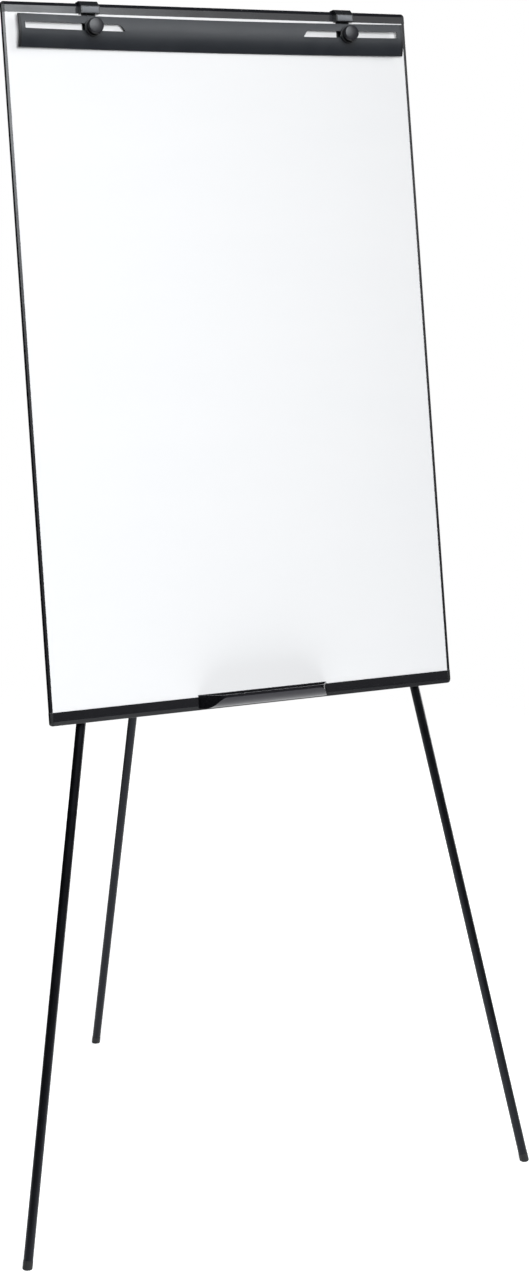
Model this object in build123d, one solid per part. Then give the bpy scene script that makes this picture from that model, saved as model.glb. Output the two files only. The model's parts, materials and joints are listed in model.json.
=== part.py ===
from build123d import *
from math import asin, degrees, radians, sqrt, tan
import os

# Flipchart easel: a framed whiteboard on three telescopic legs, with a bowed clamp bar for the pad.
# Millimetres, +Z up, +X to the reader's right, -Y towards the reader. The origin is on the floor,
# under the middle of the easel's bounding box. The board, and everything in its plane, is drawn in
# the board's own frame: x across, y the depth behind the board's front, z up from its lower edge.

# Board
BOARD_WIDTH = 680.0
BOARD_HEIGHT = 1066.0
BOARD_TILT = 10.0             # degrees that the board leans back
BOARD_RISE = 769.3            # height of the board's lower front edge above the floor
FRAME_DEPTH = 7.0
FRAME_LIP = 0.8
SHEET_THICKNESS = 0.5
BACKING_THICKNESS = 0.4
HALF_BOARD = BOARD_WIDTH / 2
PANEL_FRONT = FRAME_LIP
PANEL_BACK = FRAME_DEPTH - FRAME_LIP

# Frame round the board
TOP_RAIL_HEIGHT = 16.0
TOP_BEVEL_HEIGHT = 5.5
BOTTOM_RAIL_HEIGHT = 20.0
BOTTOM_BEVEL_HEIGHT = 6.5
BEVEL_DEPTH = 2.6
RAIL_WEB = 7.0                # solid outer edge of a rail, up to the slot that holds the panel
TRIM_WIDTH = 4.5
TRIM_WEB = 1.2
CORNER_RADIUS = 4.4
SEAM = 0.15                   # shadow gap between the pieces of the frame
HALF_PANEL = HALF_BOARD - TRIM_WEB

# Pen tray
TRAY_CENTRE = 8.5
TRAY_HALF_BACK = 109.5
TRAY_HALF_FRONT = 88.0
TRAY_DEPTH = 37.0
TRAY_BOTTOM = 2.5
TRAY_LIP_UP = 22.0
TRAY_BACK_UP = 23.2
TRAY_WALL = 2.2
TRAY_CORNER_RADIUS = 16.0
TRAY_FLOOR = 8.0              # depth of the flat part of the bottom, before it curves up
TRAY_BELLY = (9.0, 6.0)       # where the curve passes: behind the front, and above the bottom
TRAY_LIP = 4.0                # straight height of the front, under its edge
TRAY_SCREW_SPACING = 120.0
TRAY_SCREW_UP = 14.0

# Clamp bar: heights are measured down from the board's top edge, reaches forward of its front
BAR_HALF_LENGTH = 323.0
BAR_CAP_LENGTH = 4.0
BAR_TOP = 22.0
BAR_BOTTOM = 71.0
BAR_TOP_REACH = 9.0
BAR_CREST_DOWN = 46.0
BAR_CREST_REACH = 11.4
BAR_BOTTOM_REACH = 4.4
BAR_WALL = 2.6
BAR_BOW = 11.2                # how much further forward the bar's ends stand than its middle
SLOT_TOP = 33.8
SLOT_BOTTOM = 44.1
SLOT_OUTER = 313.0
SLOT_INNER_TOP = 158.0
SLOT_INNER_BOTTOM = 150.0
SLOT_ROUNDING = 1.0

# Pad hangers
HANGER_PLACES = {"left": -204.0, "right": 226.5}
CLIP_WIDTH = 30.0
CLIP_GAP = 0.4
CLIP_WALL = 1.9
CLIP_REACH = 12.0
CLIP_FACE_TOP = 6.4
CLIP_FACE_BOTTOM = 17.8
CLIP_BACK_LEG = 14.0
TONGUE_WIDTH = 22.0
TONGUE_FRONT = 2.9
TONGUE_BOTTOM = 49.0
STUD_DOWN = 39.2
STUD_RADIUS = 3.0
STUD_SHOULDER_RADIUS = 5.0
STUD_SHOULDER = 1.5
STUD_CHAMFER = 0.8
RUNNING_GAP = 0.08            # radial clearance of what turns or slides on a shaft
SPIGOT_GAP = 0.05             # radial clearance of what is pushed in and stays

# Knobs
WASHER_RADIUS = 13.3
WASHER_THICKNESS = 2.0
WASHER_GAP = 1.0
KNOB_DEPTH = 14.0             # from the washer's back to the edge of the knob's front
KNOB_RADIUS = 11.5
KNOB_SKIRT_RADIUS = 12.4
KNOB_WAIST_RADIUS = 9.6
KNOB_DOME = 1.6
KNOB_WAIST_DEPTH = 9.0
KNOB_FACE = 0.8               # thickness of the knob's face in front of its bore
KNOB_ROUNDING = 0.6
FLUTE_COUNT = 14
FLUTE_RADIUS = 1.0
FLUTE_CENTRE = 9.9
INSERT_RADIUS = 4.5
INSERT_SHORT = 0.2            # how far the insert stops short of the bore's end
STUD_SHORT = 4.0              # how far the stud stops short of it, for the travel in along the bow

# Legs: distances along a leg are measured from its pivot
LEG_PLANE = 20.0              # depth of the front legs behind the board's front
PIVOT_UP = 985.0
PIVOT_SPREAD = 105.1
LEG_SPLAY = 10.32             # degrees, in the board's plane
REAR_HINGE_UP = 951.0
REAR_HINGE_DEPTH = 42.0
REAR_LEG_ANGLE = 14.5         # degrees from the vertical
UPPER_TUBE_RADIUS = 8.6
UPPER_TUBE_WALL = 1.0
UPPER_TUBE_END = 890.0
LOWER_TUBE_RADIUS = 7.2
LOWER_TUBE_WALL = 1.0
LOWER_TUBE_LENGTH = 1080.0
HEAD_THICKNESS = 14.0
HEAD_RADIUS = 10.0
HEAD_LENGTH = 16.0
SPIGOT_LENGTH = 30.0
PIN_RADIUS = 4.0
PIN_HEAD_RADIUS = 6.5
PIN_HEAD_HEIGHT = 3.0
COLLAR_RADIUS = 12.0
COLLAR_START = 872.0
COLLAR_END = 908.0
LOCK_ALONG = 899.0
LOCK_BOSS_RADIUS = 7.0
LOCK_BOSS_REACH = 17.0
LOCK_SHANK_RADIUS = 3.0
LOCK_KNOB_RADIUS = 11.0
LOCK_KNOB_HEIGHT = 12.0
LOCK_KNOB_GAP = 0.5
LOCK_TIP_GAP = 0.4            # between the screw's tip and the lower tube
LOCK_NOTCHES = 6
LOCK_NOTCH_RADIUS = 3.5
LOCK_NOTCH_CENTRE = 12.5
GRIP_ROUNDING = 1.5
BUSH_LENGTH = 8.0
BUSH_SPIGOT = 15.0
FOOT_RADIUS = 7.45
FOOT_LENGTH = 12.0
FOOT_SPIGOT = 20.0
FOOT_OVERRUN = 2.0            # how far the round foot would reach past the floor, before it is cut flat
FOOT_ROUNDING = 3.2
FOOT_SHOULDER_ROUNDING = 0.2

# Bracket behind the board's top
PLATE_THICKNESS = 2.0
PLATE_HALF_WIDTH = 134.0
PLATE_BOTTOM = 925.0
PLATE_TOP = 1021.0
PLATE_CORNER_RADIUS = 8.0
PLATE_SCREW_SPACING = 95.0
PLATE_SCREW_EDGE = 6.5        # from the plate's upper and lower edges to its screws
YOKE_HALF_WIDTH = 128.0
YOKE_BOTTOM = 932.0
YOKE_TOP = 1008.0
YOKE_PLATE_DEPTH = 29.0
YOKE_SIDE_BOTTOM = 962.0
YOKE_CORNER_RADIUS = 10.0
EAR_GAP = 0.6
EAR_THICKNESS = 3.0
SCREW_RADIUS = 2.0
SCREW_HEAD_RADIUS = 4.0
SCREW_HEAD_HEIGHT = 1.8
SCREW_HEAD_ROUNDING = 0.8
SCREW_LENGTH = 5.6
RECESS_HALF_WIDTH = 0.5
RECESS_HALF_LENGTH = 2.2
RECESS_DEPTH = 0.9
PIN_ROUNDING = 1.4

# Leg stops behind the board's lower edge
STOP_ALONG = 955.0
STOP_LENGTH = 30.0
STOP_THICKNESS = 1.5
STOP_GAP = 0.5
STOP_DEPTH = 28.0
STOP_BASE = 16.0              # how far the stop's base reaches past the leg's centre line
STOP_SCREW_UP = 8.0

BOARD_FRAME = Pos(0, 0, BOARD_RISE) * Rot(X=-BOARD_TILT)


def block(x_range, y_range, z_range):
    """A box from its lowest and highest x, y and z."""
    spans = (x_range, y_range, z_range)
    size = [high - low for low, high in spans]
    middle = [(high + low) / 2 for low, high in spans]
    return Pos(*middle) * Box(*size)


def rod_along_y(x, z, y_start, y_end, radius):
    """A round bar along y."""
    centre = Pos(x, (y_start + y_end) / 2, z)
    return centre * Rot(X=90) * Cylinder(radius, abs(y_end - y_start))


def rod_along_leg(start, end, radius):
    """A round bar down a leg, between two distances from the pivot."""
    return Pos(0, 0, -(start + end) / 2) * Cylinder(radius, end - start)


def along_x(section, start, end):
    """A section in the y-z plane, drawn out along x."""
    return Pos(start, 0, 0) * extrude(section, end - start, dir=(1, 0, 0))


def turned_on_y(profile_points, x, z):
    """A piece turned about a line along y, from (radius, y) points."""
    outline = make_face(Polyline(*[(radius, y) for radius, y in profile_points], close=True))
    return Pos(x, 0, z) * revolve(outline, Axis.Y)


# ---------------------------------------------------------------- board and frame

def panel_layer(front, back):
    return block((-HALF_PANEL, HALF_PANEL), (front, back), (RAIL_WEB, BOARD_HEIGHT - RAIL_WEB))


def rail_outline(height, bevel_height):
    """A rail's filled section, with z measured from its outer edge."""
    outline = make_face(Plane.YZ * Polyline(
        (0, height), (0, bevel_height), (BEVEL_DEPTH, 0),
        (FRAME_DEPTH, 0), (FRAME_DEPTH, height), close=True))
    edge_corners = outline.vertices().filter_by(lambda corner: corner.Z < height - SEAM)
    return fillet(edge_corners, 0.9)


def rail_section(height, bevel_height):
    """A rail's section, with the slot that holds the panel's edge."""
    slot = Plane.YZ * Pos((PANEL_FRONT + PANEL_BACK) / 2, (RAIL_WEB + height) / 2) * Rectangle(
        PANEL_BACK - PANEL_FRONT, height - RAIL_WEB)
    return rail_outline(height, bevel_height) - slot


def at_top(shape):
    """Turns a piece drawn from the board's lower edge into one at its top edge."""
    return Pos(0, 0, BOARD_HEIGHT) * mirror(shape, Plane.XY)


def rail(height, bevel_height):
    half_length = HALF_BOARD - TRIM_WIDTH - SEAM
    return along_x(rail_section(height, bevel_height), -half_length, half_length)


def rail_end_cap(height, bevel_height):
    """The cap on a rail's right end, before its corner is rounded."""
    sleeve = along_x(rail_section(height, bevel_height), HALF_BOARD - TRIM_WIDTH, HALF_PANEL)
    web = along_x(rail_outline(height, bevel_height), HALF_PANEL, HALF_BOARD)
    return sleeve + web


def rail_end_caps():
    """Four caps, whose corners are rounded together."""
    rounded_board = Plane.XZ * Pos(0, BOARD_HEIGHT / 2) * RectangleRounded(
        BOARD_WIDTH, BOARD_HEIGHT, CORNER_RADIUS)
    rounded_slab = extrude(rounded_board, FRAME_DEPTH, dir=(0, 1, 0))
    lower = rail_end_cap(BOTTOM_RAIL_HEIGHT, BOTTOM_BEVEL_HEIGHT)
    upper = at_top(rail_end_cap(TOP_RAIL_HEIGHT, TOP_BEVEL_HEIGHT))
    caps = []
    for cap in (lower, upper):
        caps.append(cap & rounded_slab)
        caps.append(mirror(cap, Plane.YZ) & rounded_slab)
    return Compound(children=caps)


def side_trim(side):
    """A channel over the panel's side edge; side is -1 on the left and 1 on the right."""
    low = BOTTOM_RAIL_HEIGHT + SEAM
    high = BOARD_HEIGHT - TOP_RAIL_HEIGHT - SEAM
    inner = HALF_BOARD - TRIM_WIDTH
    body = block((inner, HALF_BOARD), (0, FRAME_DEPTH), (low, high))
    body = fillet(body.edges().filter_by(Axis.Z).sort_by(Axis.X)[-2:], 0.9)
    body -= block((inner - SEAM, HALF_PANEL), (PANEL_FRONT, PANEL_BACK), (low, high))
    return body if side > 0 else mirror(body, Plane.YZ)


# ---------------------------------------------------------------- pen tray

def tray_body(wall):
    """The tray's outer form with a wall of 0, or its hollow with the wall's thickness."""
    back = -wall
    front = -TRAY_DEPTH + wall
    half_back = TRAY_HALF_BACK - wall
    half_front = TRAY_HALF_FRONT - wall
    plan = make_face(Polyline(
        (-half_back, back), (half_back, back), (half_front, front), (-half_front, front), close=True))
    plan = fillet(plan.vertices().sort_by(Axis.Y)[:2], TRAY_CORNER_RADIUS - wall)
    low = TRAY_BOTTOM + wall
    floor_end = (back - TRAY_FLOOR, low)
    belly = (front + TRAY_BELLY[0], low + TRAY_BELLY[1])
    lip_start = (front, TRAY_LIP_UP - TRAY_LIP)
    top = (TRAY_LIP_UP + wall, TRAY_BACK_UP + wall)
    side_view = make_face(Plane.YZ * (
        Line((back, top[1]), (back, low))
        + Line((back, low), floor_end)
        + ThreePointArc(floor_end, belly, lip_start)
        + Line(lip_start, (front, top[0]))
        + Line((front, top[0]), (back, top[1]))))
    column = extrude(plan, 2 * TRAY_BACK_UP, dir=(0, 0, 1))
    return column & along_x(side_view, -TRAY_HALF_BACK, TRAY_HALF_BACK)


def tray_screw_places():
    return [TRAY_CENTRE + side * TRAY_SCREW_SPACING / 2 for side in (-1, 1)]


def pen_tray():
    tray = Pos(TRAY_CENTRE, 0, 0) * (tray_body(0) - tray_body(TRAY_WALL))
    for x in tray_screw_places():
        tray -= rod_along_y(x, TRAY_SCREW_UP, -TRAY_WALL, 0, SCREW_RADIUS)
    return tray


def pan_screw(x, z, seat, direction):
    """A pan-head screw with its head on the plane y = seat, driven along y in the direction given."""
    top = seat - direction * SCREW_HEAD_HEIGHT
    head = rod_along_y(x, z, seat, top, SCREW_HEAD_RADIUS)
    head = fillet(head.edges().sort_by(Axis.Y)[0 if direction > 0 else -1], SCREW_HEAD_ROUNDING)
    shank = rod_along_y(x, z, seat, seat + direction * SCREW_LENGTH, SCREW_RADIUS)
    recess_depth = sorted((top, top + direction * RECESS_DEPTH))
    upright = block((x - RECESS_HALF_WIDTH, x + RECESS_HALF_WIDTH), recess_depth,
                    (z - RECESS_HALF_LENGTH, z + RECESS_HALF_LENGTH))
    level = block((x - RECESS_HALF_LENGTH, x + RECESS_HALF_LENGTH), recess_depth,
                  (z - RECESS_HALF_WIDTH, z + RECESS_HALF_WIDTH))
    return head + shank - upright - level


# ---------------------------------------------------------------- clamp bar

BOW_RADIUS = (BAR_HALF_LENGTH ** 2 + BAR_BOW ** 2) / (2 * BAR_BOW)
BOW_AXIS = Axis((0, -BAR_TOP_REACH - BOW_RADIUS, 0), (0, 0, 1))


def bow_angle(x):
    """The bar's turn, in degrees, at a distance x from its middle."""
    return degrees(asin(x / BOW_RADIUS))


def bow_reach(x):
    """How much further forward the bar stands at x than at its middle."""
    return BOW_RADIUS - sqrt(BOW_RADIUS ** 2 - x ** 2)


def bar_section():
    """The arched section in the middle of the bar."""
    def arc(offset):
        points = ((BAR_TOP_REACH, BAR_TOP), (BAR_CREST_REACH, BAR_CREST_DOWN),
                  (BAR_BOTTOM_REACH, BAR_BOTTOM))
        return [(offset - reach, BOARD_HEIGHT - down) for reach, down in points]
    front = arc(0)
    back = arc(BAR_WALL)
    section = make_face(Plane.YZ * (
        ThreePointArc(*front) + Line(front[2], back[2]) + ThreePointArc(*back) + Line(back[0], front[0])))
    return fillet(section.vertices(), 0.7)


def bar_length(start, end):
    """The bar's section, swept round its bow from one x to another."""
    piece = revolve(bar_section(), BOW_AXIS, bow_angle(end) - bow_angle(start))
    return piece.rotate(BOW_AXIS, bow_angle(start))


def bar_slot():
    """The right-hand slot; its inner end is slanted."""
    top = BOARD_HEIGHT - SLOT_TOP
    bottom = BOARD_HEIGHT - SLOT_BOTTOM
    outline = make_face(Plane.XZ * Polyline(
        (SLOT_INNER_TOP, top), (SLOT_OUTER, top),
        (SLOT_OUTER, bottom), (SLOT_INNER_BOTTOM, bottom), close=True))
    outline = fillet(outline.vertices(), SLOT_ROUNDING)
    return extrude(outline, 2 * CLIP_WIDTH, dir=(0, -1, 0))


def clamp_bar():
    end = BAR_HALF_LENGTH - BAR_CAP_LENGTH
    slot = bar_slot()
    return bar_length(-end, end) - slot - mirror(slot, Plane.YZ)


def clamp_bar_end_caps():
    start = BAR_HALF_LENGTH - BAR_CAP_LENGTH + SEAM
    cap = bar_length(start, BAR_HALF_LENGTH)
    return Compound(children=[cap, mirror(cap, Plane.YZ)])


# ---------------------------------------------------------------- pad hangers and knobs

def washer_back(x):
    """The reach of a washer's back, clear of the bowed bar all over its face."""
    slope = tan(radians(bow_angle(abs(x))))
    return BAR_CREST_REACH + bow_reach(x) + slope * WASHER_RADIUS + WASHER_GAP


def knob_back(x):
    """The y of the face that the knob turns on its washer with."""
    return -washer_back(x) - WASHER_THICKNESS - RUNNING_GAP


def knob_bore_end(x):
    """The y of the closed end of the bore in the knob."""
    return -washer_back(x) - KNOB_DEPTH + KNOB_FACE


def hanger_clip(x):
    """The clip that hooks over the top rail, with the tongue that carries the stud."""
    top = BOARD_HEIGHT + CLIP_GAP
    back = FRAME_DEPTH + CLIP_GAP
    hook = make_face(Plane.YZ * Polyline(
        (back, BOARD_HEIGHT - CLIP_BACK_LEG), (back + CLIP_WALL, BOARD_HEIGHT - CLIP_BACK_LEG),
        (back + CLIP_WALL, top + CLIP_WALL), (-CLIP_REACH / 4, top + CLIP_WALL),
        (-CLIP_REACH, BOARD_HEIGHT - CLIP_FACE_TOP), (-CLIP_REACH, BOARD_HEIGHT - CLIP_FACE_BOTTOM),
        (-CLIP_GAP, BOARD_HEIGHT - CLIP_FACE_BOTTOM), (-CLIP_GAP, top), (back, top), close=True))
    outer_corners = hook.vertices().filter_by(lambda corner: corner.Y < -1 or corner.Z > top + 1)
    hook = fillet(outer_corners, 0.9)
    clip = along_x(hook, x - CLIP_WIDTH / 2, x + CLIP_WIDTH / 2)
    clip += block((x - TONGUE_WIDTH / 2, x + TONGUE_WIDTH / 2), (-TONGUE_FRONT, -CLIP_GAP),
                  (BOARD_HEIGHT - TONGUE_BOTTOM, BOARD_HEIGHT - CLIP_FACE_BOTTOM))
    stud_height = BOARD_HEIGHT - STUD_DOWN
    return clip - rod_along_y(x, stud_height, 0, -TONGUE_FRONT, STUD_RADIUS)


def hanger_stud(x):
    """The threaded stud: a tail in the tongue, a shoulder, and the shaft that the knob runs on."""
    tip = knob_bore_end(x) + STUD_SHORT
    shoulder = -TONGUE_FRONT - STUD_SHOULDER
    tail_radius = STUD_RADIUS - SPIGOT_GAP
    profile = [
        (0, -CLIP_GAP), (tail_radius, -CLIP_GAP), (tail_radius, -TONGUE_FRONT),
        (STUD_SHOULDER_RADIUS, -TONGUE_FRONT), (STUD_SHOULDER_RADIUS, shoulder),
        (STUD_RADIUS, shoulder), (STUD_RADIUS, tip + STUD_CHAMFER),
        (STUD_RADIUS - STUD_CHAMFER, tip), (0, tip)]
    return turned_on_y(profile, x, BOARD_HEIGHT - STUD_DOWN)


def knob_washer(x):
    """The wide loose washer between the knob and the bar."""
    back = -washer_back(x)
    disc = rod_along_y(x, BOARD_HEIGHT - STUD_DOWN, back, back - WASHER_THICKNESS, WASHER_RADIUS)
    disc = fillet(disc.edges().sort_by(Axis.Y)[0], 0.9)
    return disc - rod_along_y(x, BOARD_HEIGHT - STUD_DOWN, 0, 2 * back, STUD_RADIUS + RUNNING_GAP)


def knob_waist(depth):
    """The fluted grip of a knob, from y = 0 forwards."""
    outline = Circle(KNOB_WAIST_RADIUS)
    flute = Pos(FLUTE_CENTRE, 0) * Circle(FLUTE_RADIUS)
    for turn in range(FLUTE_COUNT):
        outline -= Rot(Z=360 * (turn + 0.5) / FLUTE_COUNT) * flute
    return extrude(Plane.XZ * outline, depth, dir=(0, -1, 0))


def knob_head(depth):
    """The skirted head of a knob with its domed front, from y = 0 forwards."""
    crown = (0, -depth - KNOB_DOME)
    shoulder = (KNOB_RADIUS / 2, -depth - 0.75 * KNOB_DOME)
    half = make_face(
        Line((0, 0), (KNOB_SKIRT_RADIUS, 0))
        + Line((KNOB_SKIRT_RADIUS, 0), (KNOB_RADIUS, -depth))
        + ThreePointArc((KNOB_RADIUS, -depth), shoulder, crown)
        + Line(crown, (0, 0)))
    head = revolve(half, Axis.Y)
    return fillet(head.edges().filter_by(GeomType.CIRCLE), KNOB_ROUNDING)


def knob(x):
    """A mushroom knob with a fluted waist, a skirted head and a domed front."""
    back = knob_back(x)
    waist_end = -washer_back(x) - KNOB_WAIST_DEPTH
    body = Pos(0, back, 0) * knob_waist(back - waist_end)
    body += Pos(0, waist_end, 0) * knob_head(KNOB_DEPTH - KNOB_WAIST_DEPTH)
    body -= rod_along_y(0, 0, back, knob_bore_end(x), INSERT_RADIUS + SPIGOT_GAP)
    return Pos(x, 0, BOARD_HEIGHT - STUD_DOWN) * body


def knob_insert(x):
    """The brass thread insert moulded into the knob."""
    back = knob_back(x)
    front = knob_bore_end(x) + INSERT_SHORT
    inner = STUD_RADIUS + RUNNING_GAP
    profile = [(inner, back), (INSERT_RADIUS, back), (INSERT_RADIUS, front), (inner, front)]
    return turned_on_y(profile, x, BOARD_HEIGHT - STUD_DOWN)


# ---------------------------------------------------------------- legs, drawn hanging from their pivot

def leg_head():
    """The moulded end that the pivot pin passes through, with a spigot inside the upper tube."""
    ear = extrude(Plane.XZ * Circle(HEAD_RADIUS), HEAD_THICKNESS / 2, both=True)
    neck = block((-HEAD_RADIUS, HEAD_RADIUS), (-HEAD_THICKNESS / 2, HEAD_THICKNESS / 2), (-HEAD_LENGTH, 0))
    bore_radius = UPPER_TUBE_RADIUS - UPPER_TUBE_WALL
    spigot = rod_along_leg(HEAD_LENGTH, HEAD_LENGTH + SPIGOT_LENGTH, bore_radius - SPIGOT_GAP)
    hole = rod_along_y(0, 0, -HEAD_THICKNESS, HEAD_THICKNESS, PIN_RADIUS + RUNNING_GAP)
    return ear + neck + spigot - hole


def tube(start, end, radius, wall):
    return rod_along_leg(start, end, radius) - rod_along_leg(start, end, radius - wall)


def lock_collar():
    """The sleeve on the upper tube's end, which guides the lower tube and carries the lock screw."""
    sleeve = rod_along_leg(COLLAR_START, COLLAR_END, COLLAR_RADIUS)
    sleeve = fillet(sleeve.edges().filter_by(GeomType.CIRCLE), GRIP_ROUNDING)
    sleeve += rod_along_y(0, -LOCK_ALONG, 0, LOCK_BOSS_REACH, LOCK_BOSS_RADIUS)
    sleeve -= rod_along_leg(COLLAR_START, UPPER_TUBE_END, UPPER_TUBE_RADIUS + SPIGOT_GAP)
    sleeve -= rod_along_leg(COLLAR_START, COLLAR_END, LOWER_TUBE_RADIUS + RUNNING_GAP)
    return sleeve - rod_along_y(0, -LOCK_ALONG, 0, LOCK_BOSS_REACH, LOCK_SHANK_RADIUS + RUNNING_GAP)


def lock_screw():
    """The thumb screw that grips the lower tube: a shank and a lobed knob."""
    back = LOCK_BOSS_REACH + LOCK_KNOB_GAP
    front = back + LOCK_KNOB_HEIGHT
    shank = rod_along_y(0, -LOCK_ALONG, LOWER_TUBE_RADIUS + LOCK_TIP_GAP, back, LOCK_SHANK_RADIUS)
    head = rod_along_y(0, -LOCK_ALONG, back, front, LOCK_KNOB_RADIUS)
    head = fillet(head.edges().filter_by(GeomType.CIRCLE), GRIP_ROUNDING)
    notch = rod_along_y(LOCK_NOTCH_CENTRE, 0, back, front, LOCK_NOTCH_RADIUS)
    for turn in range(LOCK_NOTCHES):
        head -= Pos(0, 0, -LOCK_ALONG) * Rot(Y=360 * turn / LOCK_NOTCHES) * notch
    return shank + head


def slide_bush(top):
    """The plug on the lower tube's upper end, which runs inside the upper tube."""
    ring = rod_along_leg(top - BUSH_LENGTH, top, UPPER_TUBE_RADIUS - UPPER_TUBE_WALL - RUNNING_GAP)
    ring = fillet(ring.edges().sort_by(Axis.Z)[-1], 1.0)
    return ring + rod_along_leg(top, top + BUSH_SPIGOT, LOWER_TUBE_RADIUS - LOWER_TUBE_WALL - SPIGOT_GAP)


def round_foot(length):
    """The foot's plug on a leg of the given length, before the floor cuts it flat."""
    tip = rod_along_leg(length - FOOT_LENGTH, length + FOOT_OVERRUN, FOOT_RADIUS)
    tip = fillet(tip.edges().filter_by(GeomType.CIRCLE).sort_by(Axis.Z)[0], FOOT_ROUNDING)
    tip = fillet(tip.edges().filter_by(GeomType.CIRCLE).sort_by(Axis.Z)[-1], FOOT_SHOULDER_ROUNDING)
    return tip + rod_along_leg(length - FOOT_LENGTH - FOOT_SPIGOT, length - FOOT_LENGTH,
                               LOWER_TUBE_RADIUS - LOWER_TUBE_WALL - SPIGOT_GAP)


def leg_length(leg_frame):
    """The distance along a leg from its pivot to the floor."""
    pivot = leg_frame * Pos(0, 0, 0)
    unit_down = leg_frame * Pos(0, 0, -1)
    return pivot.position.Z / (pivot.position.Z - unit_down.position.Z)


def leg(name, leg_frame):
    """A whole leg in its place, as a dictionary from node names to pieces."""
    length = leg_length(leg_frame)
    tube_end = length - FOOT_LENGTH
    tube_start = tube_end - LOWER_TUBE_LENGTH
    below_floor = block((-1000, 1000), (-1000, 1000), (-50, 0))
    pieces = {
        "head": leg_head(),
        "upper_tube": tube(HEAD_LENGTH, UPPER_TUBE_END, UPPER_TUBE_RADIUS, UPPER_TUBE_WALL),
        "lock_collar": lock_collar(),
        "lock_screw": lock_screw(),
        "slide_bush": slide_bush(tube_start),
        "lower_tube": tube(tube_start, tube_end, LOWER_TUBE_RADIUS, LOWER_TUBE_WALL),
        "foot": round_foot(length),
    }
    placed = {f"{name}_leg_{piece}": leg_frame * shape for piece, shape in pieces.items()}
    placed[f"{name}_leg_foot"] -= below_floor
    return placed


LEG_FRAMES = {
    "left": BOARD_FRAME * Pos(-PIVOT_SPREAD, LEG_PLANE, PIVOT_UP) * Rot(Y=LEG_SPLAY),
    "right": BOARD_FRAME * Pos(PIVOT_SPREAD, LEG_PLANE, PIVOT_UP) * Rot(Y=-LEG_SPLAY),
    "rear": (BOARD_FRAME * Pos(0, REAR_HINGE_DEPTH, REAR_HINGE_UP)
             * Rot(X=BOARD_TILT + REAR_LEG_ANGLE) * Rot(Z=-90)),
}


# ---------------------------------------------------------------- bracket, pins and leg stops

def bracket_screw_places():
    across = (-PLATE_SCREW_SPACING, 0, PLATE_SCREW_SPACING)
    heights = (PLATE_BOTTOM + PLATE_SCREW_EDGE, PLATE_TOP - PLATE_SCREW_EDGE)
    return [(x, z) for x in across for z in heights]


def bracket_screws():
    seat = FRAME_DEPTH + PLATE_THICKNESS
    return [pan_screw(x, z, seat, -1) for x, z in bracket_screw_places()]


def bracket_plate():
    """The steel plate screwed to the back of the board."""
    outline = Plane.XZ * Pos(0, (PLATE_BOTTOM + PLATE_TOP) / 2) * RectangleRounded(
        2 * PLATE_HALF_WIDTH, PLATE_TOP - PLATE_BOTTOM, PLATE_CORNER_RADIUS)
    plate = Pos(0, FRAME_DEPTH, 0) * extrude(outline, PLATE_THICKNESS, dir=(0, 1, 0))
    for x, z in bracket_screw_places():
        plate -= rod_along_y(x, z, FRAME_DEPTH, FRAME_DEPTH + PLATE_THICKNESS, SCREW_RADIUS)
    return plate


def hinge_ear(inner_x):
    """One ear of the rear hinge, from the yoke's plate out to the pin."""
    outer_x = inner_x + EAR_THICKNESS
    pin_place = Pos((inner_x + outer_x) / 2, REAR_HINGE_DEPTH, REAR_HINGE_UP) * Rot(Y=90)
    ear = pin_place * Cylinder(HEAD_RADIUS, EAR_THICKNESS)
    ear += block((inner_x, outer_x), (YOKE_PLATE_DEPTH, REAR_HINGE_DEPTH),
                 (REAR_HINGE_UP - HEAD_RADIUS, REAR_HINGE_UP + HEAD_RADIUS))
    return ear - pin_place * Cylinder(PIN_RADIUS, EAR_THICKNESS)


def bracket_yoke():
    """The folded steel cover that holds the outer ends of the leg pins and the rear hinge's ears."""
    inner_depth = FRAME_DEPTH + PLATE_THICKNESS
    outer_depth = YOKE_PLATE_DEPTH + PLATE_THICKNESS
    outer_x = (-YOKE_HALF_WIDTH, YOKE_HALF_WIDTH)
    yoke = block(outer_x, (YOKE_PLATE_DEPTH, outer_depth), (YOKE_BOTTOM, YOKE_TOP))
    yoke = fillet(yoke.edges().filter_by(Axis.Y).sort_by(Axis.Z)[:2], YOKE_CORNER_RADIUS)
    yoke += block(outer_x, (inner_depth, outer_depth), (YOKE_TOP - PLATE_THICKNESS, YOKE_TOP))
    for side in (-1, 1):
        cheek = sorted((side * YOKE_HALF_WIDTH, side * (YOKE_HALF_WIDTH - PLATE_THICKNESS)))
        yoke += block(cheek, (inner_depth, outer_depth), (YOKE_SIDE_BOTTOM, YOKE_TOP))
        yoke -= rod_along_y(side * PIVOT_SPREAD, PIVOT_UP, inner_depth, 2 * outer_depth, PIN_RADIUS)
    ear_start = HEAD_THICKNESS / 2 + EAR_GAP
    yoke += hinge_ear(ear_start)
    return yoke + hinge_ear(-ear_start - EAR_THICKNESS)


def front_pivot_pins():
    """The two pins that the front legs turn on, headed behind the yoke."""
    seat = YOKE_PLATE_DEPTH + PLATE_THICKNESS
    pins = []
    for side in (-1, 1):
        x = side * PIVOT_SPREAD
        shaft = rod_along_y(x, PIVOT_UP, FRAME_DEPTH + PLATE_THICKNESS, seat, PIN_RADIUS)
        head = rod_along_y(x, PIVOT_UP, seat, seat + PIN_HEAD_HEIGHT, PIN_HEAD_RADIUS)
        pins.append(shaft + fillet(head.edges().sort_by(Axis.Y)[-1], PIN_ROUNDING))
    return Compound(children=pins)


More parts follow.
